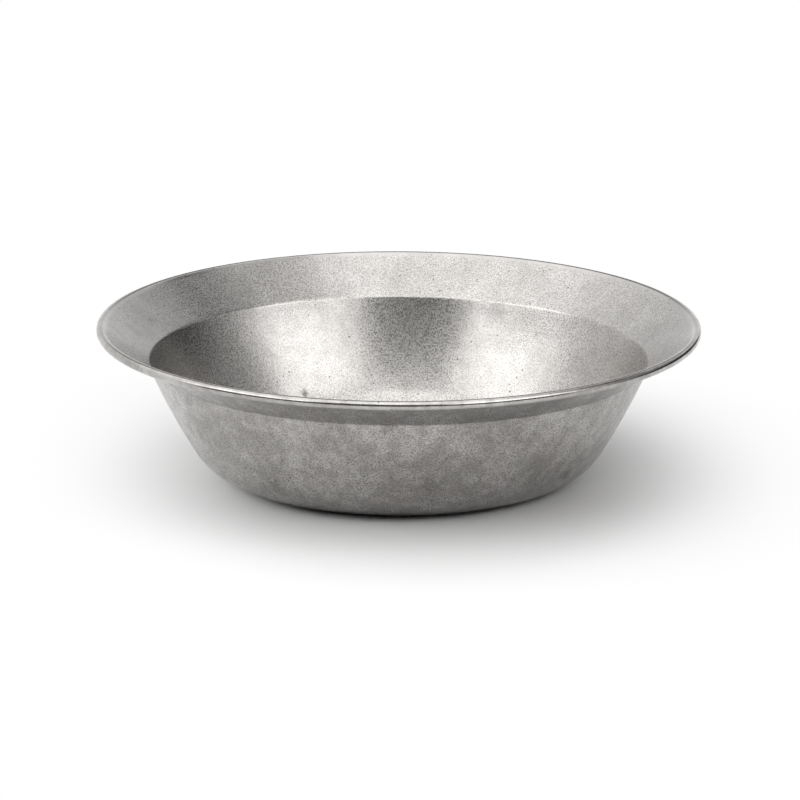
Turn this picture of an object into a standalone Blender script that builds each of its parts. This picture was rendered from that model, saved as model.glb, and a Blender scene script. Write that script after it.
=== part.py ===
"""Deep camping plate: one drawn sheet-steel shell whose outer edge is curled round a rim wire.

The plate stands on its flat base at z = 0, with its axis on +Z. All sizes are in metres.
"""

import math

import bmesh
import bpy
from mathutils import Vector

MM = 0.001

# Driving dimensions of the plate
RIM_DIAMETER = 200.0 * MM
HEIGHT = 51.0 * MM
SHEET = 0.8 * MM
BEAD_DIAMETER = 3.1 * MM
WIRE_DIAMETER = 1.1 * MM
MOUTH_DIAMETER = 165.4 * MM
MOUTH_HEIGHT = 39.05 * MM
WALL_LEAN = math.radians(23.2)
WALL_RADIUS = 210.0 * MM
CORNER_RADIUS = 21.2 * MM
CREASE_RADIUS = 2.0 * MM
CURL_SWEEP = math.radians(280.0)

# Fineness of the turned surfaces
TURN_STEPS = 96
CORNER_SEGMENTS = 8
WALL_SEGMENTS = 3
CREASE_SEGMENTS = 3
CURL_SEGMENTS = 13
WIRE_SIDES = 8
WELD = 0.01 * MM

# Colour, roughness and metallic value of the tumbled steel and of the drawn wire
STEEL = ((0.48, 0.468, 0.456, 1.0), 0.33, 1.0)
WIRE = ((0.47, 0.465, 0.46, 1.0), 0.45, 1.0)


class Bend:
    """One bend of the sheet's middle line: an arc from start to end, angles from +X in the section plane."""

    def __init__(self, centre, radius, start, end, segments):
        self.centre = centre
        self.radius = radius
        self.start = start
        self.end = end
        self.segments = segments

    def points(self, offset):
        """Points of the face that lies at this offset to the left of the middle line."""
        turns_left = self.end > self.start
        radius = self.radius - offset if turns_left else self.radius + offset
        span = self.end - self.start
        angles = [self.start + span * i / self.segments for i in range(self.segments + 1)]
        return [self.centre + radius * Vector((math.cos(a), math.sin(a))) for a in angles]


def clear_scene():
    for obj in list(bpy.data.objects):
        bpy.data.objects.remove(obj, do_unlink=True)


def named_collection(name):
    collection = bpy.data.collections.new(name)
    bpy.context.scene.collection.children.link(collection)
    return collection


def metal(name, finish):
    """A plain metal with this colour, roughness and metallic value."""
    colour, roughness, metallic = finish
    material = bpy.data.materials.new(name)
    material.use_nodes = True
    shader = material.node_tree.nodes["Principled BSDF"]
    shader.inputs["Base Color"].default_value = colour
    shader.inputs["Roughness"].default_value = roughness
    shader.inputs["Metallic"].default_value = metallic
    return material


def bead_centre():
    """Centre of the rolled bead in the section plane, x outwards and y up."""
    radius = BEAD_DIAMETER / 2
    return Vector((RIM_DIAMETER / 2 - radius, HEIGHT - radius))


def sheet_bends():
    """The bends of the sheet's middle line, from the base outwards: corner, wall, crease and curl."""
    mouth = Vector((MOUTH_DIAMETER / 2, MOUTH_HEIGHT))
    quarter = math.pi / 2

    # The wall is a wide arc that leans by WALL_LEAN at the mouth, with its centre inside the plate
    wall_centre = mouth + WALL_RADIUS * Vector((-math.cos(WALL_LEAN), math.sin(WALL_LEAN)))

    # The corner's arc touches the base's middle line and runs on into the wall's arc
    corner_height = SHEET / 2 + CORNER_RADIUS
    drop = wall_centre.y - corner_height
    reach = math.sqrt((WALL_RADIUS - CORNER_RADIUS) ** 2 - drop ** 2)
    corner_centre = Vector((wall_centre.x + reach, corner_height))
    wall_start = -math.atan2(drop, reach)
    corner = Bend(corner_centre, CORNER_RADIUS, -quarter, wall_start, CORNER_SEGMENTS)

    # The flange runs from the mouth to the top of the curl, which it touches
    curl_centre = bead_centre()
    curl_radius = (BEAD_DIAMETER - SHEET) / 2
    to_curl = curl_centre - mouth
    flange_rise = math.atan2(to_curl.y, to_curl.x) + math.asin(curl_radius / to_curl.length)
    along_flange = Vector((math.cos(flange_rise), math.sin(flange_rise)))
    under_flange = Vector((along_flange.y, -along_flange.x))

    # The crease turns the wall outwards: its arc touches the wall's from outside and the flange from below
    start = mouth + CREASE_RADIUS * under_flange - wall_centre
    run = start.dot(along_flange)
    touching = (WALL_RADIUS + CREASE_RADIUS) ** 2 - start.length_squared
    to_crease = start + (math.sqrt(run ** 2 + touching) - run) * along_flange
    wall_end = math.atan2(to_crease.y, to_crease.x)
    wall = Bend(wall_centre, WALL_RADIUS, wall_start, wall_end, WALL_SEGMENTS)
    crease_start = wall_end + math.pi
    crease_end = flange_rise + quarter
    crease = Bend(wall_centre + to_crease, CREASE_RADIUS, crease_start, crease_end, CREASE_SEGMENTS)

    curl = Bend(curl_centre, curl_radius, crease_end, crease_end - CURL_SWEEP, CURL_SEGMENTS)
    return [corner, wall, crease, curl]


def sheet_section():
    """Outline of the sheet in the section plane, from the axis along the food side and back underneath."""
    bends = sheet_bends()
    food_side = [Vector((0.0, SHEET))]
    underside = [Vector((0.0, 0.0))]
    for bend in bends:
        food_side += bend.points(SHEET / 2)
        underside += bend.points(-SHEET / 2)
    return food_side + underside[::-1]


def turned(name, section, collection, material):
    """A solid of revolution about +Z, from an outline that starts and ends on the axis."""
    bm = bmesh.new()
    verts = [bm.verts.new((point.x, 0.0, point.y)) for point in section]
    for first, second in zip(verts, verts[1:]):
        bm.edges.new((first, second))
    mesh = bpy.data.meshes.new(name)
    bm.to_mesh(mesh)
    bm.free()
    obj = bpy.data.objects.new(name, mesh)
    collection.objects.link(obj)
    obj.data.materials.append(material)
    screw = obj.modifiers.new("turn", "SCREW")
    screw.axis = "Z"
    screw.steps = TURN_STEPS
    screw.render_steps = TURN_STEPS
    screw.use_merge_vertices = True
    screw.merge_threshold = WELD
    screw.use_smooth_shade = True
    return obj


def plate_shell(collection):
    """The drawn sheet: flat base, rounded corner, leaning wall, flared flange and curled edge."""
    return turned("plate_shell", sheet_section(), collection, metal("tumbled_steel", STEEL))


def rim_wire(collection):
    """The round wire that the sheet's edge is curled over, clear of the curl all round."""
    centre = bead_centre()
    bpy.ops.mesh.primitive_torus_add(
        location=(0.0, 0.0, centre.y),
        major_radius=centre.x,
        minor_radius=WIRE_DIAMETER / 2,
        major_segments=TURN_STEPS,
        minor_segments=WIRE_SIDES,
    )
    wire = bpy.context.object
    wire.name = "rim_wire"
    wire.data.name = "rim_wire"
    wire.data.shade_smooth()
    wire.data.materials.append(metal("drawn_wire", WIRE))
    for owner in list(wire.users_collection):
        owner.objects.unlink(wire)
    collection.objects.link(wire)
    return wire


def main():
    clear_scene()
    parts = named_collection("camping_plate")
    plate_shell(parts)
    rim_wire(parts)


main()
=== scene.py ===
"""A deep camping plate of tumbled steel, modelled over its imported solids, with a plain studio stage."""

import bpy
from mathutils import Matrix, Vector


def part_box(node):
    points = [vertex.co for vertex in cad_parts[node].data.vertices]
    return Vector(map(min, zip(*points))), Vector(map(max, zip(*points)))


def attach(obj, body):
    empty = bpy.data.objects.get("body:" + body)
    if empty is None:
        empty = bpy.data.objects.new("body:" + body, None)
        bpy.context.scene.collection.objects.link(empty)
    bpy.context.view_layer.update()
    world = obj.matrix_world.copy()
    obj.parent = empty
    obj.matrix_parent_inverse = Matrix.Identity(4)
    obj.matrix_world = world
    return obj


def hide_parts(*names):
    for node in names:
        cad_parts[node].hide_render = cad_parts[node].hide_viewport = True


bl_info = {
    "name": "Camping Plate",
    "version": (1, 0, 0),
    "blender": (4, 5, 0),
    "location": "3D View > Sidebar > Camping Plate",
    "description": "A deep camping plate of tumbled steel with a wired rim, and its studio stage",
    "category": "Add Mesh",
}

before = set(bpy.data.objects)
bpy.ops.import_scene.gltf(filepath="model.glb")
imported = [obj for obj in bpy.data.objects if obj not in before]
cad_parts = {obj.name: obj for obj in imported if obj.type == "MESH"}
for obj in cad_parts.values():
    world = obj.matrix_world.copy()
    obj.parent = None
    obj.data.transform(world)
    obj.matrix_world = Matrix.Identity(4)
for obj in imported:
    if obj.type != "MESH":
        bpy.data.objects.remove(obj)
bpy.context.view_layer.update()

import math
import random

import bmesh
import bpy
from bpy.props import FloatProperty, FloatVectorProperty, IntProperty, PointerProperty
from mathutils import Euler, Vector, kdtree, noise

MM = 0.001
SHELL_LOW, SHELL_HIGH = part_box("plate_shell")

# Parts that each stretch of the sheet's profile is divided into, from the axis to the end of the curl
BASE_PARTS = 24
CORNER_PARTS = 20
WALL_PARTS = 16
CREASE_PARTS = 8
FLANGE_PARTS = 32
CURL_PARTS = 24
WELD = 0.001 * MM

# Soft waves that forming leaves in the sheet: wavelength and depth
WAVES = ((34 * MM, 0.10 * MM), (13 * MM, 0.035 * MM), (6 * MM, 0.012 * MM))
# Small dents that tumbling leaves: how many, their radius and their depth
DENT_COUNT = 260
DENT_RADIUS = (1.6 * MM, 4.2 * MM)
DENT_DEPTH = (0.008 * MM, 0.030 * MM)
DENT_SEED = 7
# The bead keeps its round section: waves and dents fade out over this stretch of the flange
CALM_FROM = 94.0 * MM
CALM_TO = 97.0 * MM
# Below this height the sheet is only pressed upwards, so that the base stays off the floor
FOOT_HEIGHT = 3.0 * MM

# The shallow ring that the press leaves in the flange: the radius it runs at, the width over which it is
# more than about a third as deep as in its middle, and its depth there
PRESS_RING_RADIUS = 87.3 * MM
PRESS_RING_WIDTH = 1.6 * MM
PRESS_RING_DEPTH = 0.02 * MM

# Radius from which hands have rubbed the rim, and radius from which it is rubbed smooth
RUB_FROM = 96.0 * MM
RUB_TO = 97.5 * MM
# Share of the grain that rubbing takes off, and how far it tarnishes the bare bead
RUBBED_OFF = 0.85
BEAD_TARNISH = 0.14

# Small pits, one to a cell of this size in millimetres, in this share of the cells
PIT_SPACING = 2.2
PIT_SHARE = 0.36
# Radius of the smallest pit, and how much larger the largest is, as shares of the cell
PIT_LEAST = 0.07
PIT_RANGE = 0.15
# Share of a pit's radius inside which it is fully dark
PIT_CORE = 0.4

# Noise at which the grain's flecks start, and at which they are full
FLECK_FROM = 0.66
FLECK_TO = 0.32
# Distance between the rings in the sheet, in millimetres
RING_SPACING = 2.4
# How fast the rings change on their way round: the radius of their circle in the noise
RING_CHANGE = 2.5

# The wire's grain and the distance between its rings, in millimetres, and the depth of the rings
WIRE_GRAIN_SIZE = 0.3
WIRE_RING_SPACING = 0.15
WIRE_RING_DEPTH = 0.005 * MM
# How much rougher the rings make the wire, and the share of its colour that its flecks keep
WIRE_RING_ROUGHNESS = 0.12
WIRE_FLECK_SHARE = 0.8

# How strongly flecks, marks of use and pits darken the steel, from 0 to 1
FLECK_STRENGTH = 0.53
MARK_STRENGTH = 0.7
PIT_STRENGTH = 0.75
# How much rougher clouds and grime make the steel, and how much smoother it is in its flecks than between
CLOUD_ROUGHNESS = 0.05
GRIME_ROUGHNESS = 0.2
FLECK_ROUGHNESS = 0.10

# Clouds of dulled steel, from the broadest down
CLOUDS = (
    # noise cells per millimetre, detail, noise where the cloud starts, noise where it is full
    (0.05, 3.0, 0.38, 0.62),
    (0.19, 3.0, 0.36, 0.66),
    (0.28, 4.0, 0.34, 0.66),
)
# Shares of the broad clouds and of the smaller patches on both sides, and of the mottling outside, which is
# partly the steel's own and partly painted shade on the outer wall that faces the shaded floor
BROAD_SHARE = 0.6
PATCH_SHARE = 0.4
MOTTLING_AND_SHADE_SHARE = 0.55
# Inside, the clouds are weaker over an even dullness. Outside, they start from a cleaner steel.
INSIDE_CLOUDS = 0.5
INSIDE_DULLNESS = 0.25
OUTSIDE_CLEANNESS = 0.18
# How far a face leans outwards where it starts to count as outside, and where it does so fully
OUTSIDE_FROM = 0.1
OUTSIDE_TO = 0.5

# Dull marks, darker and rougher: marks of use, and at the back crease a patch that dims the crease's
# highlight. Place, size and strength. Azimuth 0 is the camera's side and turns to the right.
# Azimuth in degrees, radius, height and size in millimetres.
MARKS = (
    # name, azimuth, radius, height, size, strength
    ("back of the well", 179.4, 74.3, 23.8, 3.2, 0.75),
    ("left of the well", -151.8, 67.4, 10.7, 3.0, 0.80),
    # This patch darkens and roughens the crease at the back, which dims its highlight there.
    ("back crease", 156.0, 81.0, 36.5, 11.0, 0.20),
    ("right of the wall", 53.2, 68.1, 10.6, 6.0, 0.60),
    ("left of the wall", -35.9, 68.3, 11.0, 7.0, 0.50),
    ("front of the wall", 8.4, 70.6, 14.6, 9.0, 0.45),
)
# The marks' ragged edge: cells of its noise per millimetre, and the noise's share in the reach of a mark
RAGGED_CELLS = 0.9
RAGGED_GAIN = 2.4
RAGGED_SHIFT = -0.6
# Share of its reach inside which a mark is full
MARK_CORE = 0.2

# The studio dome: light panels and dark flags in a pale room, seen from the plate.
# Azimuth 0 is the camera's side and turns to the right. Angles in degrees, levels added to the room's.
PANELS = (
    # name, azimuth, elevation, half width, half height, soft edge, level
    ("left softbox", -66, 36, 29, 11, 3.5, 1.72),
    ("right softbox", 48.5, 35, 26.5, 11, 3.5, 1.61),
    ("overhead panel", 0, 90, 180, 44, 28, 0.87),
    ("strip over the camera", -14, 55.5, 32, 6, 4, 0.80),
    ("dark camera side", -6, 0, 70, 23, 8, -3.00),
    ("dark behind the camera", -8, 39, 27, 9.5, 5, -1.07),
    ("dark right side", 115, 58, 29, 17, 6, -0.98),
    ("dark beside the plate", 115, 25, 30, 22, 8, -0.71),
    ("dark right corner", 130, 3, 25, 9, 8, -1.80),
    ("dark back wall", 180, 38, 24, 16, 10, -1.00),
)

# The floor lies this far below the plate's base, so that the two never share a plane
FLOOR_DROP = 0.1 * MM
FLOOR_SIDES = 96
FLOOR_ROUGHNESS = 0.9


class PlateShape(bpy.types.PropertyGroup):
    """Sizes of the drawn shell. The rim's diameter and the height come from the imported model."""

    rim_diameter: FloatProperty(
        name="Rim diameter",
        description="Outside diameter over the rolled bead",
        default=SHELL_HIGH.x - SHELL_LOW.x,
        unit="LENGTH",
    )
    height: FloatProperty(
        name="Height",
        description="From the base to the top of the bead",
        default=SHELL_HIGH.z - SHELL_LOW.z,
        unit="LENGTH",
    )
    sheet: FloatProperty(
        name="Sheet",
        description="Thickness of the steel sheet",
        default=0.8 * MM,
        unit="LENGTH",
    )
    bead_diameter: FloatProperty(
        name="Bead diameter",
        description="Outside diameter of the rolled bead's section",
        default=3.1 * MM,
        unit="LENGTH",
    )
    mouth_diameter: FloatProperty(
        name="Mouth diameter",
        description="Diameter where the middle lines of wall and flange would meet",
        default=165.4 * MM,
        unit="LENGTH",
    )
    mouth_height: FloatProperty(
        name="Mouth height",
        description="Height where the middle lines of wall and flange would meet",
        default=39.05 * MM,
        unit="LENGTH",
    )
    wall_lean: FloatProperty(
        name="Wall lean",
        description="How far the wall leans outwards from upright at the mouth",
        default=math.radians(23.2),
        subtype="ANGLE",
    )
    wall_radius: FloatProperty(
        name="Wall radius",
        description="Radius of the wide arc that the wall makes from the corner up to the mouth",
        default=210.0 * MM,
        unit="LENGTH",
    )
    corner_radius: FloatProperty(
        name="Corner radius",
        description="Radius of the round corner between base and wall",
        default=21.2 * MM,
        unit="LENGTH",
    )
    crease_radius: FloatProperty(
        name="Crease radius",
        description="Radius of the crease between wall and flange",
        default=2.0 * MM,
        unit="LENGTH",
    )
    curl_sweep: FloatProperty(
        name="Curl sweep",
        description="Angle through which the edge is curled under",
        default=math.radians(290.0),
        subtype="ANGLE",
    )
    turn_steps: IntProperty(
        name="Turn steps",
        description="Steps of the full turn about the axis",
        default=336,
        min=12,
    )


class PlateFinish(bpy.types.PropertyGroup):
    """Colours and surface of the tumbled steel and of the rim wire."""

    steel_colour: FloatVectorProperty(
        name="Steel",
        description="Colour of the clean tumbled steel",
        default=(0.634, 0.617, 0.600),
        subtype="COLOR",
        size=3,
    )
    cloud_colour: FloatVectorProperty(
        name="Clouding",
        description="Colour of the steel where handling has dulled it",
        default=(0.430, 0.415, 0.401),
        subtype="COLOR",
        size=3,
    )
    pit_colour: FloatVectorProperty(
        name="Pits",
        description="Colour of the grime in the small pits",
        default=(0.10, 0.094, 0.088),
        subtype="COLOR",
        size=3,
    )
    steel_roughness: FloatProperty(
        name="Steel roughness",
        description="Roughness of the tumbled steel between its dents",
        default=0.265,
        subtype="FACTOR",
        min=0,
        max=1,
    )
    rim_roughness: FloatProperty(
        name="Rim roughness",
        description="Roughness of the bead, where hands have rubbed it smoother",
        default=0.17,
        subtype="FACTOR",
        min=0,
        max=1,
    )
    grain_size: FloatProperty(
        name="Grain size",
        description="Size of the finest marks that the tumbling stones leave",
        default=0.48 * MM,
        unit="LENGTH",
    )
    grain_depth: FloatProperty(
        name="Grain depth",
        description="Depth of those marks",
        default=0.028 * MM,
        precision=6,
        unit="LENGTH",
    )
    line_depth: FloatProperty(
        name="Line depth",
        description="Depth of the faint rings that drawing and turning leave",
        default=0.016 * MM,
        precision=6,
        unit="LENGTH",
    )
    wire_colour: FloatVectorProperty(
        name="Wire",
        description="Colour of the drawn rim wire",
        default=(0.47, 0.465, 0.46),
        subtype="COLOR",
        size=3,
    )
    wire_roughness: FloatProperty(
        name="Wire roughness",
        description="Roughness of the drawn rim wire",
        default=0.42,
        subtype="FACTOR",
        min=0,
        max=1,
    )


class PlateStage(bpy.types.PropertyGroup):
    """The studio floor, the room's light and the camera."""

    floor_colour: FloatVectorProperty(
        name="Floor",
        description="Colour of the pale floor",
        default=(0.82, 0.82, 0.82),
        subtype="COLOR",
        size=3,
    )
    floor_radius: FloatProperty(
        name="Floor radius",
        description="Radius of the round floor",
        default=4.0,
        unit="LENGTH",
    )
    # The shadow's outline on the floor is painted: the floor is painted white beyond an ellipse that these
    # place and size.
    shadow_aside: FloatProperty(
        name="Shadow aside",
        description="How far to the right of the plate's axis the middle of its shadow lies",
        default=0.012,
        unit="LENGTH",
    )
    shadow_from: FloatProperty(
        name="Shadow from",
        description="Distance to either side of that middle where the floor starts to fade to white",
        default=0.042,
        unit="LENGTH",
    )
    shadow_to: FloatProperty(
        name="Shadow to",
        description="Distance to either side of that middle where the floor has become white",
        default=0.146,
        unit="LENGTH",
    )
    shadow_length: FloatProperty(
        name="Shadow length",
        description="How many times as far the shadow reaches towards the camera as it does to either side",
        default=3.8,
        min=1,
    )
    room_level: FloatProperty(
        name="Room level",
        description="Light level of the bare room around the plate, where 1 is white",
        default=1.0,
        min=0,
    )
    camera_distance: FloatProperty(
        name="Camera distance",
        description="From the camera to the point it aims at",
        default=2.569,
        unit="LENGTH",
    )
    camera_elevation: FloatProperty(
        name="Camera elevation",
        description="How far the camera looks down",
        default=math.radians(15.14),
        subtype="ANGLE",
    )
    camera_roll: FloatProperty(
        name="Camera roll",
        description="How far the camera is turned about its line of sight",
        default=math.radians(0.21),
        subtype="ANGLE",
    )
    aim_height: FloatProperty(
        name="Aim height",
        description="Height of the point on the plate's axis that the camera aims at",
        default=24.8 * MM,
        unit="LENGTH",
    )
    aim_aside: FloatProperty(
        name="Aim aside",
        description="How far to the right of the plate's axis the camera stands and aims",
        default=0.47 * MM,
        unit="LENGTH",
    )
    lens: FloatProperty(
        name="Lens",
        description="Focal length on a 36 mm sensor, in millimetres",
        default=348.6,
    )


def place(tree, kind, inputs=None, **settings):
    """Adds a node, sets its options, and fills its inputs with values or with other nodes' sockets."""
    made = tree.nodes.new(kind)
    for option, value in settings.items():
        setattr(made, option, value)
    for name, value in (inputs or {}).items():
        if isinstance(value, bpy.types.NodeSocket):
            tree.links.new(value, made.inputs[name])
        else:
            made.inputs[name].default_value = value
    return made


def maths(tree, operation, *values):
    """Adds a math node on these values or sockets, and returns its result."""
    return place(tree, "ShaderNodeMath", dict(enumerate(values)), operation=operation).outputs[0]


def ramp(tree, value, low, high, to_low=0.0, to_high=1.0):
    """Eases a value from one range to another, and returns the result."""
    inputs = {"Value": value, "From Min": low, "From Max": high, "To Min": to_low, "To Max": to_high}
    return place(tree, "ShaderNodeMapRange", inputs, interpolation_type="SMOOTHSTEP").outputs["Result"]


def blend(tree, share, first, second):
    """Mixes two colours by a share, and returns the result."""
    # A mix node has sockets for every kind of data, and those for colours are 6 and 7
    mixed = place(tree, "ShaderNodeMix", {0: share, 6: first, 7: second}, data_type="RGBA")
    return mixed.outputs[2]


def blend_values(tree, share, first, second):
    """Mixes two values by a share, and returns the result."""
    # A mix node's sockets for plain values are 2 and 3
    return place(tree, "ShaderNodeMix", {0: share, 2: first, 3: second}).outputs[0]


def vector_maths(tree, operation, *vectors):
    """Adds a vector math node on these vectors or sockets, and returns its outputs, Vector and Value."""
    return place(tree, "ShaderNodeVectorMath", dict(enumerate(vectors)), operation=operation).outputs


def random_field(tree, where, scale, detail, roughness=0.5):
    """Adds soft random values over the surface, from 0 to 1, and returns them."""
    inputs = {"Vector": where, "Scale": scale, "Detail": detail, "Roughness": roughness}
    return place(tree, "ShaderNodeTexNoise", inputs).outputs["Fac"]


def across_axis(tree, where):
    """The part of a position that lies across the plate's axis."""
    return vector_maths(tree, "MULTIPLY", where, (1, 1, 0))["Vector"]


def new_group(name, inputs, outputs):
    """Starts a shader node group, and returns it with its inputs' sockets and its output node."""
    group = bpy.data.node_groups.new(name, "ShaderNodeTree")
    for socket, kind in inputs.items():
        group.interface.new_socket(socket, in_out="INPUT", socket_type=kind)
    for socket in outputs:
        group.interface.new_socket(socket, in_out="OUTPUT", socket_type="NodeSocketFloat")
    given = place(group, "NodeGroupInput").outputs
    return group, given, place(group, "NodeGroupOutput")


def use_group(tree, name, inputs):
    """Places the node group of this name with its own values, and returns its outputs."""
    return place(tree, "ShaderNodeGroup", inputs, node_tree=bpy.data.node_groups[name]).outputs


def tumble_grain():
    """The fine marks of tumbling with stones: the height of dense little dents, and their dark flecks."""
    sockets = {"Millimetres": "NodeSocketVector", "Grain Size": "NodeSocketFloat"}
    group, given, out = new_group("Tumble Grain", sockets, ("Height", "Fleck"))
    density = maths(group, "DIVIDE", 1.0, given["Grain Size"])
    fine = random_field(group, given["Millimetres"], density, detail=1.5)
    group.links.new(fine, out.inputs["Height"])
    group.links.new(ramp(group, fine, FLECK_FROM, FLECK_TO), out.inputs["Fleck"])


def turned_lines():
    """Faint rings round the axis, as drawing and turning leave, finer across than along."""
    sockets = {"Millimetres": "NodeSocketVector", "Spacing": "NodeSocketFloat"}
    group, given, out = new_group("Turned Lines", sockets, ("Height",))
    across = across_axis(group, given["Millimetres"])
    radius = vector_maths(group, "LENGTH", across)["Value"]
    height = place(group, "ShaderNodeSeparateXYZ", {"Vector": given["Millimetres"]}).outputs["Z"]
    run = maths(group, "DIVIDE", maths(group, "ADD", radius, height), given["Spacing"])
    outwards = vector_maths(group, "NORMALIZE", across)["Vector"]
    circle = vector_maths(group, "MULTIPLY", outwards, (RING_CHANGE, RING_CHANGE, 0))["Vector"]
    climb = place(group, "ShaderNodeCombineXYZ", {"Z": run}).outputs["Vector"]
    where = vector_maths(group, "ADD", circle, climb)["Vector"]
    rings = random_field(group, where, scale=1.0, detail=4.0, roughness=0.7)
    group.links.new(rings, out.inputs["Height"])


def grime_pits():
    """Scattered small pits: one to a cell, in a share of the cells."""
    sockets = {"Millimetres": "NodeSocketVector", "Spacing": "NodeSocketFloat", "Share": "NodeSocketFloat"}
    group, given, out = new_group("Grime Pits", sockets, ("Mask",))
    scale = maths(group, "DIVIDE", 1.0, given["Spacing"])
    cells = place(group, "ShaderNodeTexVoronoi", {"Vector": given["Millimetres"], "Scale": scale}).outputs
    draw = place(group, "ShaderNodeSeparateColor", {"Color": cells["Color"]}).outputs
    size = maths(group, "MULTIPLY_ADD", draw["Green"], PIT_RANGE, PIT_LEAST)
    inside = ramp(group, maths(group, "DIVIDE", cells["Distance"], size), 1.0, PIT_CORE)
    kept = maths(group, "LESS_THAN", draw["Red"], given["Share"])
    group.links.new(maths(group, "MULTIPLY", inside, kept), out.inputs["Mask"])


def rub_mark():
    """One dull mark of use round a point of the surface, with a ragged edge, and rare specks all over."""
    sockets = {"Millimetres": "NodeSocketVector", "At": "NodeSocketVector", "Size": "NodeSocketFloat"}
    group, given, out = new_group("Rub Mark", sockets, ("Mask",))
    away = vector_maths(group, "DISTANCE", given["Millimetres"], given["At"])["Value"]
    ragged = random_field(group, given["Millimetres"], RAGGED_CELLS, detail=3.0)
    # The noise is mostly between 0.3 and 0.7, so a mark reaches from a tenth of its size to all of it.
    # Where the noise is under 0.25 the reach is negative, which leaves a speck however far the mark is.
    reach = maths(group, "MULTIPLY_ADD", ragged, RAGGED_GAIN, RAGGED_SHIFT)
    share = maths(group, "DIVIDE", away, maths(group, "MULTIPLY", given["Size"], reach))
    group.links.new(ramp(group, share, 1.0, MARK_CORE), out.inputs["Mask"])


def new_metal(name):
    """A metal material, with its tree, its shader and the surface position in millimetres."""
    material = bpy.data.materials.new(name)
    material.use_nodes = True
    tree = material.node_tree
    shader = tree.nodes["Principled BSDF"]
    shader.inputs["Metallic"].default_value = 1.0
    where = place(tree, "ShaderNodeTexCoord").outputs["Object"]
    scaled = place(tree, "ShaderNodeVectorMath", {0: where, "Scale": 1 / MM}, operation="SCALE")
    return material, tree, shader, scaled.outputs["Vector"]


def outer_face(tree, where):
    """Whether a point lies on the plate's outside, from the way its surface faces: 1 outside, 0 inside."""
    outwards = vector_maths(tree, "NORMALIZE", across_axis(tree, where))["Vector"]
    facing = place(tree, "ShaderNodeNewGeometry").outputs["True Normal"]
    lean = vector_maths(tree, "DOT_PRODUCT", facing, outwards)["Value"]
    return ramp(tree, lean, OUTSIDE_FROM, OUTSIDE_TO)


def cloudiness(tree, where, outside):
    """How far handling has dulled the steel: broad clouds, smaller patches, and a mottling outside, which
    also darkens the outer wall as painted shade.
    """
    broad, patches, mottling_and_shade = (
        ramp(tree, random_field(tree, where, scale, detail), start, full)
        for scale, detail, start, full in CLOUDS
    )
    clouds = maths(tree, "MULTIPLY_ADD", broad, BROAD_SHARE, maths(tree, "MULTIPLY", patches, PATCH_SHARE))
    inner = maths(tree, "MULTIPLY_ADD", clouds, INSIDE_CLOUDS, INSIDE_DULLNESS)
    cleaner = maths(tree, "SUBTRACT", clouds, OUTSIDE_CLEANNESS)
    # The outer mottling is partly real and partly painted shade: it darkens the outside, whose wall faces
    # the floor in the plate's shadow.
    outer = maths(tree, "MULTIPLY_ADD", mottling_and_shade, MOTTLING_AND_SHADE_SHARE, cleaner)
    return blend_values(tree, outside, inner, outer)


def use_marks(tree, where):
    """All the dull marks, those of use and the patch that dims the back crease's highlight, as one mask."""
    mask = 0.0
    for name, azimuth, radius, height, size, strength in MARKS:
        turn = math.radians(azimuth)
        at = (radius * math.sin(turn), -radius * math.cos(turn), height)
        mark = use_group(tree, "Rub Mark", {"Millimetres": where, "At": at, "Size": size})
        mark["Mask"].node.label = name
        mask = maths(tree, "MAXIMUM", mask, maths(tree, "MULTIPLY", mark["Mask"], strength))
    return mask


def rim_rub(tree, where):
    """How far hands have rubbed the bead smooth: fully on its rounding, not at all on the flange."""
    radius = vector_maths(tree, "LENGTH", across_axis(tree, where))["Value"]
    return ramp(tree, radius, RUB_FROM / MM, RUB_TO / MM)


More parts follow.
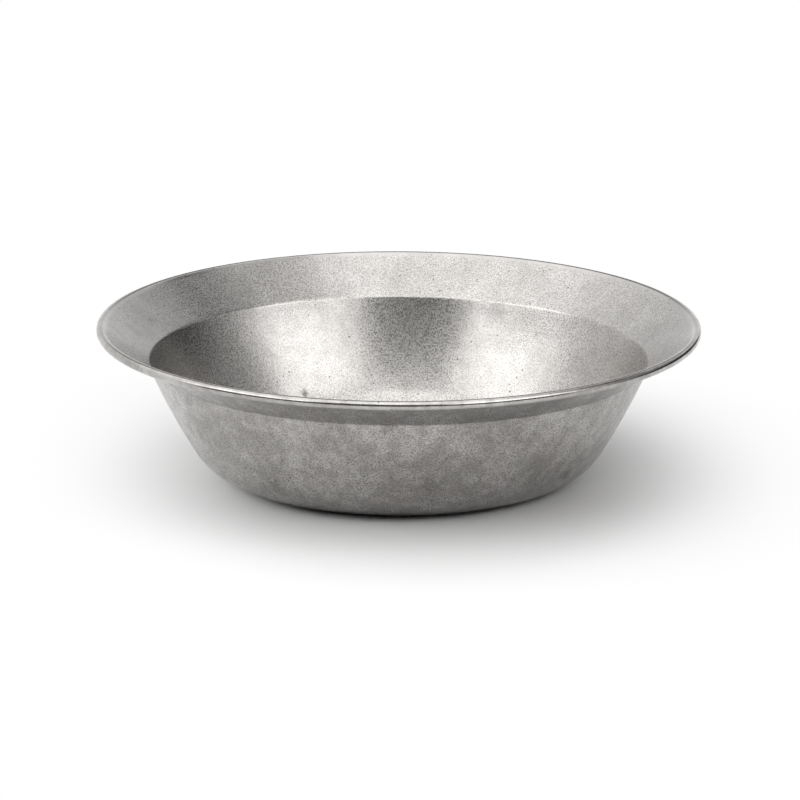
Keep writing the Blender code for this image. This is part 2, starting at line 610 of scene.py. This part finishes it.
def tumbled_steel(finish):
    """Tumbled steel: cloudy, flecked and pitted, with a satin gloss and faint turned rings."""
    material, tree, shader, where = new_metal("tumbled_steel")
    grain = use_group(tree, "Tumble Grain", {"Millimetres": where, "Grain Size": finish.grain_size / MM})
    rings = use_group(tree, "Turned Lines", {"Millimetres": where, "Spacing": RING_SPACING})
    pits = use_group(tree, "Grime Pits", {
        "Millimetres": where,
        "Spacing": PIT_SPACING,
        "Share": PIT_SHARE,
    })["Mask"]
    clouds = cloudiness(tree, where, outer_face(tree, where))
    marks = use_marks(tree, where)
    rubbed = rim_rub(tree, where)
    grime = (*finish.pit_colour, 1)

    # Colour: the clouded steel under its flecks, then the marks of use, then the pits
    steel = blend(tree, clouds, (*finish.steel_colour, 1), (*finish.cloud_colour, 1))
    worn = maths(tree, "MULTIPLY_ADD", rubbed, -RUBBED_OFF, 1.0)
    flecks = maths(tree, "MULTIPLY", maths(tree, "MULTIPLY", grain["Fleck"], FLECK_STRENGTH), worn)
    flecks = maths(tree, "MULTIPLY_ADD", rubbed, BEAD_TARNISH, flecks)
    flecked = blend(tree, flecks, steel, grime)
    marked = blend(tree, maths(tree, "MULTIPLY", marks, MARK_STRENGTH), flecked, grime)
    colour = blend(tree, maths(tree, "MULTIPLY", pits, PIT_STRENGTH), marked, grime)
    tree.links.new(colour, shader.inputs["Base Color"])

    # Roughness: duller in the clouds and the grime, smoother on the bead and in the flecks
    rough = maths(tree, "MULTIPLY_ADD", clouds, CLOUD_ROUGHNESS, finish.steel_roughness)
    smoothed = maths(tree, "MULTIPLY", rubbed, finish.rim_roughness - finish.steel_roughness)
    rough = maths(tree, "ADD", rough, smoothed)
    clean = maths(tree, "SUBTRACT", 0.5, grain["Fleck"])
    rough = maths(tree, "MULTIPLY_ADD", clean, FLECK_ROUGHNESS, rough)
    rough = maths(tree, "MULTIPLY_ADD", maths(tree, "MAXIMUM", pits, marks), GRIME_ROUGHNESS, rough)
    tree.links.new(rough, shader.inputs["Roughness"])

    # Bump: the grain, rubbed off the bead, and the rings
    dents = maths(tree, "MULTIPLY", maths(tree, "MULTIPLY", grain["Height"], finish.grain_depth / MM), worn)
    lines = maths(tree, "MULTIPLY_ADD", rings["Height"], finish.line_depth / MM, dents)
    bump = place(tree, "ShaderNodeBump", {"Height": lines, "Distance": MM})
    tree.links.new(bump.outputs["Normal"], shader.inputs["Normal"])
    return material


def drawn_wire(finish):
    """Plain drawn wire: rings along its length and a dull grain."""
    material, tree, shader, where = new_metal("drawn_wire")
    grain = use_group(tree, "Tumble Grain", {"Millimetres": where, "Grain Size": WIRE_GRAIN_SIZE})
    rings = use_group(tree, "Turned Lines", {"Millimetres": where, "Spacing": WIRE_RING_SPACING})
    dull = tuple(WIRE_FLECK_SHARE * channel for channel in finish.wire_colour)
    colour = blend(tree, grain["Fleck"], (*finish.wire_colour, 1), (*dull, 1))
    tree.links.new(colour, shader.inputs["Base Color"])
    rough = maths(tree, "MULTIPLY_ADD", rings["Height"], WIRE_RING_ROUGHNESS, finish.wire_roughness)
    tree.links.new(rough, shader.inputs["Roughness"])
    bump = place(tree, "ShaderNodeBump", {"Height": rings["Height"], "Distance": WIRE_RING_DEPTH})
    tree.links.new(bump.outputs["Normal"], shader.inputs["Normal"])
    return material


def straight(bm, tip, run, parts):
    """Carries the profile on in a straight line, in equal parts, and returns its new tip."""
    for _ in range(parts):
        tip = bmesh.ops.extrude_vert_indiv(bm, verts=[tip])["verts"][0]
        bmesh.ops.translate(bm, verts=[tip], vec=run / parts)
    return tip


def bend(bm, tip, centre, turn, parts):
    """Carries the profile on along an arc, to the left for a positive turn, and returns its new tip."""
    made = bmesh.ops.spin(bm, geom=[tip], cent=centre, axis=(0, -1, 0), angle=turn, steps=parts)
    return made["geom_last"][0]


def trace_profile(bm, shape):
    """Draws the middle line of the sheet in the XZ plane, from the axis to the end of the curl."""
    mouth = Vector((shape.mouth_diameter / 2, 0, shape.mouth_height))
    inwards = Vector((-math.cos(shape.wall_lean), 0, math.sin(shape.wall_lean)))
    wall_centre = mouth + shape.wall_radius * inwards

    # The corner's arc touches the base and runs on into the wall's arc
    corner_height = shape.sheet / 2 + shape.corner_radius
    drop = wall_centre.z - corner_height
    reach = math.sqrt((shape.wall_radius - shape.corner_radius) ** 2 - drop ** 2)
    corner_centre = Vector((wall_centre.x + reach, 0, corner_height))
    corner_turn = math.pi / 2 - math.atan2(drop, reach)

    # The flange runs from the mouth to the top of the curl, which it touches
    bead_radius = shape.bead_diameter / 2
    curl_centre = Vector((shape.rim_diameter / 2 - bead_radius, 0, shape.height - bead_radius))
    curl_radius = bead_radius - shape.sheet / 2
    to_curl = curl_centre - mouth
    flange_rise = math.atan2(to_curl.z, to_curl.x) + math.asin(curl_radius / to_curl.length)
    along_flange = Vector((math.cos(flange_rise), 0, math.sin(flange_rise)))
    flange_up = Vector((-along_flange.z, 0, along_flange.x))

    # The crease's arc touches the wall's from outside and the flange from below
    start = mouth - shape.crease_radius * flange_up - wall_centre
    run = start.dot(along_flange)
    touching = (shape.wall_radius + shape.crease_radius) ** 2 - start.length_squared
    to_crease = start + (math.sqrt(run ** 2 + touching) - run) * along_flange
    wall_end = math.pi / 2 + math.atan2(to_crease.z, to_crease.x)

    tip = bm.verts.new((0, 0, shape.sheet / 2))
    tip = straight(bm, tip, Vector((corner_centre.x, 0, 0)), BASE_PARTS)
    tip = bend(bm, tip, corner_centre, corner_turn, CORNER_PARTS)
    tip = bend(bm, tip, wall_centre, wall_end - corner_turn, WALL_PARTS)
    tip = bend(bm, tip, wall_centre + to_crease, flange_rise - wall_end, CREASE_PARTS)
    tip = straight(bm, tip, curl_centre + curl_radius * flange_up - tip.co, FLANGE_PARTS)
    bend(bm, tip, curl_centre, -shape.curl_sweep, CURL_PARTS)


def food_side(vert):
    """The direction out of the sheet on its food side: inwards and up."""
    inwards = Vector((-vert.co.x, -vert.co.y, SHELL_HIGH.x))
    return vert.normal if vert.normal.dot(inwards) > 0 else -vert.normal


def calm(vert):
    """How much of the waves and dents a point takes: none on the bead, all of them inside it."""
    share = (CALM_TO - vert.co.xy.length) / (CALM_TO - CALM_FROM)
    return min(max(share, 0.0), 1.0)


def press_waves(bm):
    """Presses the sheet into soft waves, only upwards in the base, and presses the ring into the flange."""
    moves = []
    for vert in bm.verts:
        footing = max(0.0, 1 - vert.co.z / FOOT_HEIGHT)
        depth = sum(size * (footing + noise.noise(vert.co / length)) / 2 for length, size in WAVES)
        aside = (vert.co.xy.length - PRESS_RING_RADIUS) / PRESS_RING_WIDTH
        depth -= PRESS_RING_DEPTH * math.exp(-4 * aside * aside)
        moves.append(food_side(vert) * depth * calm(vert))
    for vert, move in zip(bm.verts, moves):
        vert.co += move


def press_dents(bm):
    """Presses small round dents into the sheet at random points of its wall and flange."""
    draw = random.Random(DENT_SEED)
    verts = list(bm.verts)
    tree = kdtree.KDTree(len(verts))
    for index, vert in enumerate(verts):
        tree.insert(vert.co, index)
    tree.balance()
    moves = [Vector() for _ in verts]
    for _ in range(DENT_COUNT):
        centre = draw.choice(verts).co.copy()
        radius = draw.uniform(*DENT_RADIUS)
        depth = draw.uniform(*DENT_DEPTH)
        for _, index, distance in tree.find_range(centre, radius):
            dome = (1 - (distance / radius) ** 2) ** 2
            moves[index] += food_side(verts[index]) * depth * dome * calm(verts[index])
    for vert, move in zip(verts, moves):
        vert.co += move


def new_object(bm, name, material):
    """Makes the bmesh a smooth mesh object with this material."""
    mesh = bpy.data.meshes.new(name)
    bm.to_mesh(mesh)
    bm.free()
    mesh.shade_smooth()
    mesh.materials.append(material)
    made = bpy.data.objects.new(name, mesh)
    bpy.context.scene.collection.objects.link(made)
    return made


class PLATE_OT_drawn_shell(bpy.types.Operator):
    """Model the drawn and tumbled shell with its curled edge, in place of the plain solid"""

    bl_idname = "camping_plate.drawn_shell"
    bl_label = "Drawn shell"

    def execute(self, context):
        shape = context.scene.camping_plate.shape
        bm = bmesh.new()
        trace_profile(bm, shape)
        bmesh.ops.spin(
            bm,
            geom=bm.verts[:] + bm.edges[:],
            cent=(0, 0, 0),
            axis=(0, 0, 1),
            angle=math.tau,
            steps=shape.turn_steps,
            use_merge=True,
        )
        bmesh.ops.remove_doubles(bm, verts=bm.verts, dist=WELD)
        bmesh.ops.recalc_face_normals(bm, faces=bm.faces)
        bm.normal_update()
        press_waves(bm)
        press_dents(bm)
        shell = new_object(bm, "drawn_shell", tumbled_steel(context.scene.camping_plate.finish))
        wall = shell.modifiers.new("sheet", "SOLIDIFY")
        wall.thickness = shape.sheet
        wall.offset = 0
        wall.use_even_offset = True
        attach(shell, "root")
        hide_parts("plate_shell")
        return {"FINISHED"}


class PLATE_OT_rim_wire(bpy.types.Operator):
    """Give the rim wire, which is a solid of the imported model, its drawn finish"""

    bl_idname = "camping_plate.rim_wire"
    bl_label = "Rim wire"

    def execute(self, context):
        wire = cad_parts["rim_wire"]
        wire.data.materials.clear()
        wire.data.materials.append(drawn_wire(context.scene.camping_plate.finish))
        return {"FINISHED"}


def pale_floor(stage):
    """A round pale floor that keeps the plate's shadow near it and fades into the white background: beyond
    an ellipse it is painted white light, so the shadow's outline is painted.
    """
    material = bpy.data.materials.new("pale_floor")
    material.use_nodes = True
    tree = material.node_tree
    shader = tree.nodes["Principled BSDF"]
    shader.inputs["Base Color"].default_value = (*stage.floor_colour, 1)
    shader.inputs["Roughness"].default_value = FLOOR_ROUGHNESS
    shader.inputs["Specular IOR Level"].default_value = 0.0
    where = place(tree, "ShaderNodeTexCoord").outputs["Object"]
    middle = (stage.shadow_aside, 0, 0)
    squeeze = (1, 1 / stage.shadow_length, 1)
    away = vector_maths(tree, "SUBTRACT", where, middle)["Vector"]
    squeezed = vector_maths(tree, "MULTIPLY", away, squeeze)["Vector"]
    aside = vector_maths(tree, "LENGTH", squeezed)["Value"]
    # Painted light: beyond an ellipse set off to the right and stretched towards the camera, the floor is
    # painted white over its rendered shadow, so the shadow's outline is painted, and the metal reflects it
    # too.
    far = ramp(tree, aside, stage.shadow_from, stage.shadow_to)
    path = place(tree, "ShaderNodeLightPath").outputs
    seen = maths(tree, "MAXIMUM", path["Is Camera Ray"], path["Is Glossy Ray"])
    seen = maths(tree, "MAXIMUM", seen, path["Is Transmission Ray"])
    white = place(tree, "ShaderNodeEmission", {"Strength": 1.0})
    mixed = place(tree, "ShaderNodeMixShader", {
        "Fac": maths(tree, "MULTIPLY", seen, far),
        1: shader.outputs["BSDF"],
        2: white.outputs["Emission"],
    })
    tree.links.new(mixed.outputs["Shader"], tree.nodes["Material Output"].inputs["Surface"])
    bm = bmesh.new()
    bmesh.ops.create_circle(bm, cap_ends=True, segments=FLOOR_SIDES, radius=stage.floor_radius)
    bmesh.ops.translate(bm, verts=bm.verts, vec=(0, 0, -FLOOR_DROP))
    floor = new_object(bm, "floor", material)


def soft_panel():
    """One panel of the studio dome: full inside its width and height, fading over a soft edge."""
    direction = ("Azimuth", "Elevation")
    panel = ("At Azimuth", "At Elevation", "Half Width", "Half Height", "Edge", "Level")
    sockets = {name: "NodeSocketFloat" for name in direction + panel}
    group, given, out = new_group("Soft Panel", sockets, ("Light",))
    aside = maths(group, "SUBTRACT", given["Azimuth"], given["At Azimuth"])
    aside = maths(group, "ABSOLUTE", maths(group, "WRAP", aside, -math.pi, math.pi))
    above = maths(group, "ABSOLUTE", maths(group, "SUBTRACT", given["Elevation"], given["At Elevation"]))
    masks = []
    for offset, half in ((aside, given["Half Width"]), (above, given["Half Height"])):
        outer = maths(group, "ADD", half, given["Edge"])
        inner = maths(group, "SUBTRACT", half, given["Edge"])
        masks.append(ramp(group, offset, outer, inner))
    light = maths(group, "MULTIPLY", maths(group, "MULTIPLY", *masks), given["Level"])
    group.links.new(light, out.inputs["Light"])


def studio_dome(stage):
    """The room's light: a white dome, with soft panels and dark flags that only the camera doesn't see."""
    world = bpy.data.worlds.new("studio_dome")
    world.use_nodes = True
    tree = world.node_tree
    where = place(tree, "ShaderNodeTexCoord").outputs["Generated"]
    axes = place(tree, "ShaderNodeSeparateXYZ", {"Vector": where}).outputs
    towards_camera = maths(tree, "MULTIPLY", axes["Y"], -1.0)
    azimuth = maths(tree, "ARCTAN2", axes["X"], towards_camera)
    elevation = maths(tree, "ARCSINE", axes["Z"])
    panels = 0.0
    for name, at_azimuth, at_elevation, half_width, half_height, edge, gain in PANELS:
        light = use_group(tree, "Soft Panel", {
            "Azimuth": azimuth,
            "Elevation": elevation,
            "At Azimuth": math.radians(at_azimuth),
            "At Elevation": math.radians(at_elevation),
            "Half Width": math.radians(half_width),
            "Half Height": math.radians(half_height),
            "Edge": math.radians(edge),
            "Level": gain,
        })
        light["Light"].node.label = name
        panels = maths(tree, "ADD", panels, light["Light"])
    camera = place(tree, "ShaderNodeLightPath").outputs["Is Camera Ray"]
    panels = maths(tree, "MULTIPLY", panels, maths(tree, "SUBTRACT", 1.0, camera))
    strength = maths(tree, "MAXIMUM", maths(tree, "ADD", panels, stage.room_level), 0.0)
    tree.links.new(strength, tree.nodes["Background"].inputs["Strength"])
    tree.nodes["Background"].inputs["Color"].default_value = (1, 1, 1, 1)
    bpy.context.scene.world = world


def photo_camera(stage):
    """The camera, at the photograph's viewing angle."""
    data = bpy.data.cameras.new("camera")
    data.lens = stage.lens
    camera = bpy.data.objects.new("camera", data)
    tilt = stage.camera_elevation
    aim = Vector((stage.aim_aside, 0, stage.aim_height))
    camera.location = aim + stage.camera_distance * Vector((0, -math.cos(tilt), math.sin(tilt)))
    camera.rotation_euler = Euler((math.pi / 2 - tilt, 0, 0))
    camera.rotation_euler.rotate_axis("Z", stage.camera_roll)
    bpy.context.scene.collection.objects.link(camera)
    bpy.context.scene.camera = camera


class PLATE_OT_stage(bpy.types.Operator):
    """Set up the floor, the studio light and the camera"""

    bl_idname = "camping_plate.stage"
    bl_label = "Stage"

    def execute(self, context):
        stage = context.scene.camping_plate.stage
        context.scene.view_settings.view_transform = "Standard"
        pale_floor(stage)
        studio_dome(stage)
        photo_camera(stage)
        return {"FINISHED"}


class PLATE_PT_panel(bpy.types.Panel):
    """Lists the plate's pieces and its stage"""

    bl_idname = "PLATE_PT_panel"
    bl_label = "Camping Plate"
    bl_space_type = "VIEW_3D"
    bl_region_type = "UI"
    bl_category = "Camping Plate"

    def draw(self, context):
        for operator in OPERATORS:
            self.layout.operator(operator.bl_idname)


class PlateSettings(bpy.types.PropertyGroup):
    """All settings of the plate and its stage."""

    shape: PointerProperty(type=PlateShape)
    finish: PointerProperty(type=PlateFinish)
    stage: PointerProperty(type=PlateStage)


OPERATORS = (PLATE_OT_drawn_shell, PLATE_OT_rim_wire, PLATE_OT_stage)
CLASSES = (PlateShape, PlateFinish, PlateStage, PlateSettings, *OPERATORS, PLATE_PT_panel)


def register():
    for cls in CLASSES:
        bpy.utils.register_class(cls)
    bpy.types.Scene.camping_plate = PointerProperty(type=PlateSettings)


def unregister():
    del bpy.types.Scene.camping_plate
    for cls in reversed(CLASSES):
        bpy.utils.unregister_class(cls)


def main():
    register()
    for build_group in (tumble_grain, turned_lines, grime_pits, rub_mark, soft_panel):
        build_group()
    bpy.ops.camping_plate.drawn_shell()
    bpy.ops.camping_plate.rim_wire()
    bpy.ops.camping_plate.stage()


if __name__ == "__main__":
    main()
